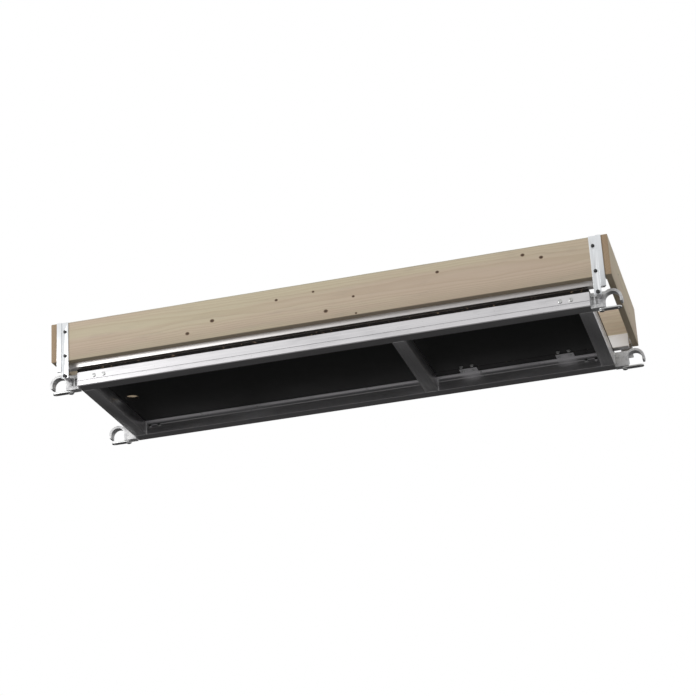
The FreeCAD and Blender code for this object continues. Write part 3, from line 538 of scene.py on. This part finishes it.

# ---------------------------------------------------------------- Deck
# Twelve millimetre birch plywood faced with dark phenolic film: a wire grid is pressed into
# the top, the underside is smooth and coloured darker as painted shade, and the sawn edges
# are sealed with dark paint.


def film_plywood(name, low, high):
    finish = Finish(name, Specular_IOR_Level=0.15)
    x, y, z = finish.axes(finish.where())
    up = finish.facing()[2]
    top, under = up.rise(0.4, 0.6), (0 - up).rise(0.4, 0.6)
    pitch = 0.008
    ridge_x = ((x / pitch).math("FRACT") - 0.5).math("ABSOLUTE")
    ridge_y = ((y / pitch).math("FRACT") - 0.5).math("ABSOLUTE")
    grid = ridge_x.math("MAXIMUM", ridge_y).rise(0.34, 0.45) * top
    traffic = finish.cloud(3.5, 4.0, 0.6).rise(0.38, 0.68)
    dust = finish.cloud(45, 4.0, 0.7).rise(0.45, 0.75) * traffic * top
    scratches = finish.cloud((5, 260, 5), 2.0).rise(0.66, 0.70) * 0.5
    colour = finish.blend(finish.cloud(18, 3.0), tone(0.020, 0.014, 0.012),
                          tone(0.034, 0.025, 0.021))
    # Painted shade: the underside is coloured darker than the top.
    colour = finish.blend(under, colour, tone(0.011, 0.0115, 0.011))
    colour = finish.blend(grid * traffic * 0.45, colour, tone(0.085, 0.062, 0.048))
    colour = finish.blend(dust * 0.5, colour, tone(0.17, 0.15, 0.13))
    colour = finish.blend(scratches * top, colour, tone(0.10, 0.085, 0.07))
    plies = 9
    ply = ((z - low.z) * (plies / 2 / (high.z - low.z))).math("FRACT").rise(0.46, 0.54)
    fibre = finish.cloud((60, 60, 1800), 3.0)
    wood = finish.blend(ply, tone(0.46, 0.33, 0.21), tone(0.27, 0.18, 0.11))
    wood = finish.blend(fibre * 0.5, wood, tone(0.20, 0.14, 0.09))
    chipped = finish.cloud(70, 4.0, 0.65).rise(0.60, 0.66)
    edge = finish.blend(chipped * 0.7, tone(0.008, 0.0065, 0.006), wood)
    sides = (1 - top - under).math("MAXIMUM", 0.0)
    finish.feed("Base Color", finish.blend(sides, colour, edge))
    finish.feed("Roughness", 0.34 + dust * 0.4 + grid * 0.1 + sides * 0.3
                + finish.cloud(9, 3.0) * 0.16)
    finish.relief((grid, 0.0005), (fibre * sides * (0.3 + chipped), 0.0005),
                  (finish.cloud(14, 2.0), 0.0004))
    return finish.material


low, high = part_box("deck_panel")
paint(film_plywood("deck_film", low, high), "deck_panel")

# ---------------------------------------------------------------- Deck rivets
# Aluminium blind rivets hold the plywood to the ledges and the beams: a low dome above with
# the broken mandrel in its middle, and a squeezed bulb below.

rivet_metal = aluminium("rivet_metal", "z", tone(0.84, 0.84, 0.84), grey, 0.32, 0.6)


def rivet(box, dome):
    """A rivet as tall as a CAD one, on the Z axis, with the underside of its head at 0."""
    radius = (box[1].x - box[0].x) / 2
    shank, bulb = radius * 0.5, radius * 0.78
    bottom = box[0].z - box[1].z + dome
    return turned([
        (0, dome * 0.72), (shank * 0.55, dome * 0.72), (shank * 0.62, dome * 0.96),
        (radius * 0.42, dome), (radius * 0.7, dome * 0.78), (radius * 0.93, dome * 0.4),
        (radius, dome * 0.1), (radius * 0.98, 0), (shank, 0), (shank, bottom + 0.0026),
        (bulb * 0.8, bottom + 0.0024), (bulb, bottom + 0.0015), (bulb * 0.86, bottom + 0.0006),
        (shank * 0.9, bottom + 0.0001), (shank * 0.5, bottom), (shank * 0.42, bottom + 0.0005),
        (0, bottom + 0.0005)], 20)


def rivets(name):
    dome = 0.0014
    shapes = []
    for box in solids(name):
        middle = middle_of(box)
        shapes.append((rivet(box, dome), upright((middle.x, middle.y, box[1].z - dome),
                                                 (0, 0, 1))))
    piece(name + "_domed", together(*shapes), "frame", "mill_aluminium", rivet_metal, name)


rivets("deck_rivets")

# ---------------------------------------------------------------- Trapdoor
# A panel of the same plywood that drops into the deck's opening.

low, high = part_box("hatch_lid")
paint(film_plywood("hatch_film", low, high), "hatch_lid")

# ---------------------------------------------------------------- Trapdoor hinges
# Two folded steel hinges, zinc plated: one leaf bolted to the lid and one to the deck, with
# a backing strap below, cup-headed bolts above and washers and nuts below.

for end, _ in ENDS:
    rounded("hinge_deck_leaf_" + end, 0.0005, "frame", "zinc_steel", zinc.material)
    rounded("hinge_lid_leaf_" + end, 0.0005, "hatch", "zinc_steel", zinc.material)
    rounded("hinge_strap_" + end, 0.0005, "frame", "mill_aluminium", tie_metal)

places = solids("hinge_pins")
pin_radius = (places[0][1].z - places[0][0].z) / 2
pin_length = places[0][1].x - places[0][0].x
pin = turned([(0, 0), (pin_radius * 0.7, 0), (pin_radius, 0.0005),
              (pin_radius, pin_length - 0.0005), (pin_radius * 0.7, pin_length),
              (0, pin_length)])
piece("hinge_pins_turned", together(*[
    (pin, upright((box[0].x, middle_of(box).y, middle_of(box).z), (1, 0, 0)))
    for box in places]), "frame", "zinc_steel", zinc.material, "hinge_pins")


def cup_bolts(name, body):
    """Cup-headed bolts down through a panel, each with a washer and a nut below."""
    cup_rise, nut_high, washer_thick = 0.0022, 0.0045, 0.0012
    shapes = []
    for box in solids(name):
        washer = (box[1].x - box[0].x) / 2
        cup, shank = washer / 1.1, washer / 2.2
        length = box[1].z - box[0].z - cup_rise
        under = length - 0.006
        shapes.append((together(
            turned([(0, cup_rise), (cup * 0.5, cup_rise * 0.9), (cup * 0.85, cup_rise * 0.6),
                    (cup, cup_rise * 0.15), (cup, 0), (shank, 0),
                    (shank, 0.0005 - length), (shank * 0.8, -length), (0, -length)]),
            turned([(shank * 0.9, -under), (washer * 0.96, -under),
                    (washer, -under - washer_thick * 0.2),
                    (washer, -under - washer_thick * 0.8),
                    (washer * 0.96, -under - washer_thick),
                    (shank * 0.9, -under - washer_thick)]),
            hexagon(shank * 2 * 1.9, nut_high, -under - washer_thick - nut_high),
        ), Matrix.Translation((middle_of(box).x, middle_of(box).y, box[1].z - cup_rise))))
    piece(name + "_turned", together(*shapes), body, "zinc_steel", zinc.material, name)


cup_bolts("hinge_deck_bolts", "frame")
cup_bolts("hinge_lid_bolts", "hatch")

# ---------------------------------------------------------------- Rests for the trapdoor
# Flat aluminium bars riveted under the deck, which the lid's front edge lies on.

rest_metal = aluminium("extruded_rest", "x", pale, grey, 0.3, 0.6)
for end, _ in ENDS:
    rounded("hatch_rest_" + end, 0.0005, "frame", "mill_aluminium", rest_metal)
rivets("hatch_rest_rivets")

# ---------------------------------------------------------------- Trapdoor latch
# A blackened knob above, on a spindle that turns in a steel bush and carries a blade below.

black = Finish("blackened_steel", Metallic=0.0)
powder = black.cloud(900, 2.0)
chips = black.cloud(260, 3.0, 0.6).rise(0.62, 0.68)
black_colour = black.blend(black.cloud(30, 3.0), tone(0.022, 0.022, 0.023),
                           tone(0.045, 0.045, 0.046))
bare = (chips * 0.5 + black.edge_wear_and_highlight() * 0.35).math("MINIMUM", 1.0)
black.feed("Base Color", black.blend(bare, black_colour, tone(0.42, 0.41, 0.40)))
black.feed("Metallic", bare)
black.feed("Roughness", 0.42 + powder * 0.15)
black.relief((powder, 0.00015))
rounded("latch_knob", 0.0012, "latch", "dark_steel", black.material, 3)
rounded("latch_blade", 0.0006, "latch", "zinc_steel", zinc.material)
rounded("latch_bush", 0.0004, "hatch", "zinc_steel", zinc.material)
low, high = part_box("latch_nut")
middle = middle_of((low, high))
across = max(high.x - low.x, high.y - low.y)
latch_nut = hexagon(across, high.z - low.z)
place = Matrix.Translation((middle.x, middle.y, low.z))
piece("latch_nut_chamfered", together((latch_nut, place)), "latch", "zinc_steel",
      zinc.material, "latch_nut")

# ---------------------------------------------------------------- Toe boards
# Planed spruce, unpainted, two long boards and two across the ends. Flat-sawn grain runs
# along each board and flows round small dark knots; the top edges have greyed.


def spruce(name, grain, low, high, knots):
    """Softwood whose rings are centred on a line behind the board, with knots at places
    given as distance along the board, height and radius in metres."""
    finish = Finish(name)
    x, y, z = finish.axes(finish.where())
    facing = finish.facing()
    along, depth = (x, y) if grain == "x" else (y, x)
    thick = (high.y - low.y) if grain == "x" else (high.x - low.x)
    front = low.y if grain == "x" else low.x
    height = z
    knot_skin, knot_core = None, None
    for place, level, radius in knots:
        run = (along - place) / (radius * 1.25)
        rise = (height - level) / radius
        near = run * run + rise * rise
        skin = 1 - near.rise(0.75, 1.5)
        core = 1 - near.rise(0.2, 1.0)
        stretched = (run * 0.34) ** 2.0 + (rise * 0.42) ** 2.0
        z_push = rise * radius * (0 - stretched).math("EXPONENT") * -0.62
        height = height + z_push
        knot_skin = skin if knot_skin is None else knot_skin.math("MAXIMUM", skin)
        knot_core = core if knot_core is None else knot_core.math("MAXIMUM", core)
    swirl = finish.cloud(along_axis(grain, 1.1, 7), 3.0, 0.5, tuple(low))
    pith_z = (low.z + high.z) / 2 + 0.012
    pith_depth = front + thick * 2.6
    away = ((height - pith_z) ** 2.0 + (depth - pith_depth) ** 2.0).math("SQRT")
    rings = ((away + swirl * 0.026) / 0.0044).math("FRACT")
    late = rings.rise(0.30, 0.85) * (1 - rings.rise(0.88, 1.0))
    fibre = finish.cloud(along_axis(grain, 9, 620), 3.0, 0.6)
    cast_of = finish.cloud(along_axis(grain, 0.9, 14), 3.0, 0.55, (3.1, 1.7, 0.4))
    colour = finish.blend(cast_of.rise(0.36, 0.64), tone(0.645, 0.565, 0.405),
                          tone(0.625, 0.50, 0.385))
    colour = finish.blend(late * 0.26, colour, tone(0.47, 0.35, 0.23))
    colour = finish.blend(fibre.rise(0.45, 0.8) * 0.35, colour, tone(0.50, 0.39, 0.27))
    grime = finish.cloud(along_axis(grain, 5, 30), 5.0, 0.65).rise(0.52, 0.78)
    colour = finish.blend(grime * 0.28, colour, tone(0.34, 0.30, 0.25))
    bottom = 1 - (z - low.z).rise(0.0, 0.055)
    colour = finish.blend(bottom * 0.22, colour, tone(0.36, 0.31, 0.22))
    # Painted shade: faces turned downward are coloured darker.
    under = (0 - facing[2]).rise(0.4, 0.9)
    colour = finish.blend(under * 0.45, colour, tone(0.24, 0.19, 0.13))
    crown = z.rise(high.z - 0.006, high.z - 0.0005)
    colour = finish.blend(crown * 0.55, colour, tone(0.34, 0.36, 0.29))
    if knots:
        colour = finish.blend(knot_skin * 0.85, colour, tone(0.20, 0.115, 0.06))
        colour = finish.blend(knot_core, colour, tone(0.075, 0.042, 0.024))
    face = facing["xyz".index(grain)].math("ABSOLUTE").rise(0.5, 0.8)
    end_grain = finish.blend(rings.rise(0.3, 0.9), tone(0.50, 0.37, 0.24),
                             tone(0.30, 0.20, 0.12))
    colour = finish.blend(face, colour, end_grain)
    finish.feed("Base Color", colour)
    finish.feed("Roughness", 0.60 + fibre * 0.2 + crown * 0.1)
    finish.relief((late, 0.00025), (fibre, 0.00035),
                  (finish.cloud(along_axis(grain, 12, 40), 2.0), 0.0006))
    return finish.material


def planed_board(name, grain, knots):
    """A board as sawn and planed: arrises eased, its top edge and faces a shade uneven."""
    low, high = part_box(name)
    size, middle = high - low, (low + high) / 2
    mesh = bmesh.new()
    bmesh.ops.create_cube(mesh, size=1.0)
    bmesh.ops.scale(mesh, vec=size, verts=mesh.verts)
    bmesh.ops.translate(mesh, vec=middle, verts=mesh.verts)
    axis = "xyz".index(grain)
    sides = [edge for edge in mesh.edges
             if abs(edge.verts[0].co[axis] - edge.verts[1].co[axis]) > size[axis] / 2]
    bmesh.ops.bevel(mesh, geom=sides, offset=0.0022, segments=3, profile=0.5,
                    affect="EDGES", material=-1)
    rims = [edge for edge in mesh.edges
            if abs(abs(edge.verts[0].co[axis] - middle[axis]) - size[axis] / 2) < 1e-6
            and abs(edge.verts[0].co[axis] - edge.verts[1].co[axis]) < 1e-6]
    bmesh.ops.bevel(mesh, geom=rims, offset=0.0009, segments=2, profile=0.5,
                    affect="EDGES", material=-1)
    slice_run = 0.02
    start = low[axis] + slice_run
    normal = Vector([float(axis == index) for index in range(3)])
    while start < high[axis] - slice_run / 2:
        place = normal * start
        bmesh.ops.bisect_plane(mesh, geom=mesh.verts[:] + mesh.edges[:] + mesh.faces[:],
                               plane_co=place, plane_no=normal)
        start += slice_run
    for level in (0.25, 0.5, 0.75):
        bmesh.ops.bisect_plane(mesh, geom=mesh.verts[:] + mesh.edges[:] + mesh.faces[:],
                               plane_co=(0, 0, low.z + size.z * level), plane_no=(0, 0, 1))
    flat = 1 - axis
    for vert in mesh.verts:
        here = noise.noise((vert.co[axis] * 5, vert.co.z * 9, low[flat] * 31))
        inward = -1 if vert.co[flat] > middle[flat] else 1
        vert.co[flat] += inward * 0.0005 * abs(here)
        if vert.co.z > high.z - 0.004:
            vert.co.z -= 0.0009 * abs(noise.noise((vert.co[axis] * 7, low[flat] * 17, 2.3)))
    return piece(name + "_planed", mesh, "frame", "board_timber",
                 spruce(name + "_spruce", grain, low, high, knots), name)


board_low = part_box("toe_board_front")[0]
front_knots = [(-0.484, 0.030, 0.0058), (-0.393, 0.063, 0.0062), (-0.160, 0.101, 0.0045),
               (-0.028, 0.110, 0.0038), (0.013, 0.031, 0.0060), (0.112, 0.069, 0.0042),
               (0.118, 0.006, 0.0034), (0.407, 0.108, 0.0050), (0.700, 0.119, 0.0054),
               (0.761, 0.100, 0.0056)]
planed_board("toe_board_front", "x",
             [(along, board_low.z + level, radius) for along, level, radius in front_knots])
chance = random.Random(12)
for name, grain, count in (("toe_board_rear", "x", 8), ("toe_board_left", "y", 3),
                           ("toe_board_right", "y", 2)):
    low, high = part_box(name)
    axis = "xyz".index(grain)
    knots = [(chance.uniform(low[axis] * 0.9, high[axis] * 0.9),
              chance.uniform(low.z + 0.035, high.z - 0.02), chance.uniform(0.003, 0.007))
             for _ in range(count)]
    planed_board(name, grain, knots)

# ---------------------------------------------------------------- Toe rails
# Pale anodised aluminium angles that stand just above the deck's edges, each screwed to the
# inner face of its long board. A strip of their outer faces shows under the boards.

rail_metal = aluminium("rail_metal", "x", tone(0.85, 0.825, 0.81), tone(0.78, 0.76, 0.745),
                       0.42, 0.1)
for side, _ in SIDES:
    rounded("toe_rail_" + side, 0.0005, "frame", "bright_aluminium", rail_metal)

# ---------------------------------------------------------------- Corner brackets
# Upright aluminium extrusions that join the boards and stand on the claws.

bracket_metal = aluminium("bracket_metal", "z", tone(0.90, 0.92, 0.93),
                          tone(0.78, 0.80, 0.83), 0.30, 0.25)
for corner in CORNERS:
    rounded("corner_bracket_" + corner, 0.0005, "frame", "bright_aluminium", bracket_metal)

# ---------------------------------------------------------------- Screws in the brackets
# Blackened hexagon-headed screws with washers on the long faces, low round heads inside,
# and one hexagon bolt through each bracket's foot into the claw.


def side_fasteners(name, axis, inwards, head, rise):
    """Set heads at the outer or inner end of each solid of a CAD group."""
    shapes = []
    for box in solids(name):
        middle = middle_of(box)
        sign = math.copysign(1, middle[axis]) * (-1 if inwards else 1)
        far = box[1][axis] if sign > 0 else box[0][axis]
        foot = middle.copy()
        foot[axis] = far - sign * rise
        way = Vector((0, 0, 0))
        way[axis] = sign
        shapes.append((head, upright(foot, way)))
    piece(name + "_turned", together(*shapes), "frame", "dark_steel", black.material, name)


def round_head(radius, rim):
    """A low round head with a socket, on a short shank of the given radius."""
    return turned([(0, -0.002), (radius, -0.002), (radius, 0), (radius * 1.96, 0),
                   (radius * 2, rim), (radius * 1.7, 0.0019), (radius * 1.1, 0.0025),
                   (radius * 0.7, 0.0025), (radius * 0.55, 0.0011), (0, 0.0010)])


screw_radius, screw_rise = 0.003, 0.0045
screw_head = together(
    turned([(0, -0.002), (screw_radius, -0.002), (screw_radius, 0),
            (screw_radius * 1.96, 0), (screw_radius * 2, 0.0003),
            (screw_radius * 2, 0.0009), (screw_radius * 1.94, 0.0012), (0, 0.0012)]),
    hexagon(screw_radius * 3.5, screw_rise))
side_fasteners("board_screws", 1, False, screw_head, screw_rise)
rail_radius, round_rise = 0.0025, 0.0025
side_fasteners("end_board_screws", 0, True, round_head(screw_radius, 0.0006), round_rise)
side_fasteners("rail_screws", 1, True, round_head(rail_radius, 0.0005), round_rise)
foot_radius, foot_rise = 0.004, 0.005
foot_head = together(
    turned([(0, -0.003), (foot_radius, -0.003), (foot_radius, 0.001), (0, 0.001)]),
    hexagon(foot_radius * 3.6, foot_rise))
side_fasteners("bracket_foot_bolts", 1, False, foot_head, foot_rise)

# ---------------------------------------------------------------- Bracket spacers
# Short aluminium tubes on the foot bolts, between the claws and the brackets' feet.

spacer_metal = aluminium("spacer_metal", "y", pale, grey, 0.3, 0.5)
rounded("bracket_spacers", 0.0006, "frame", "mill_aluminium", spacer_metal)
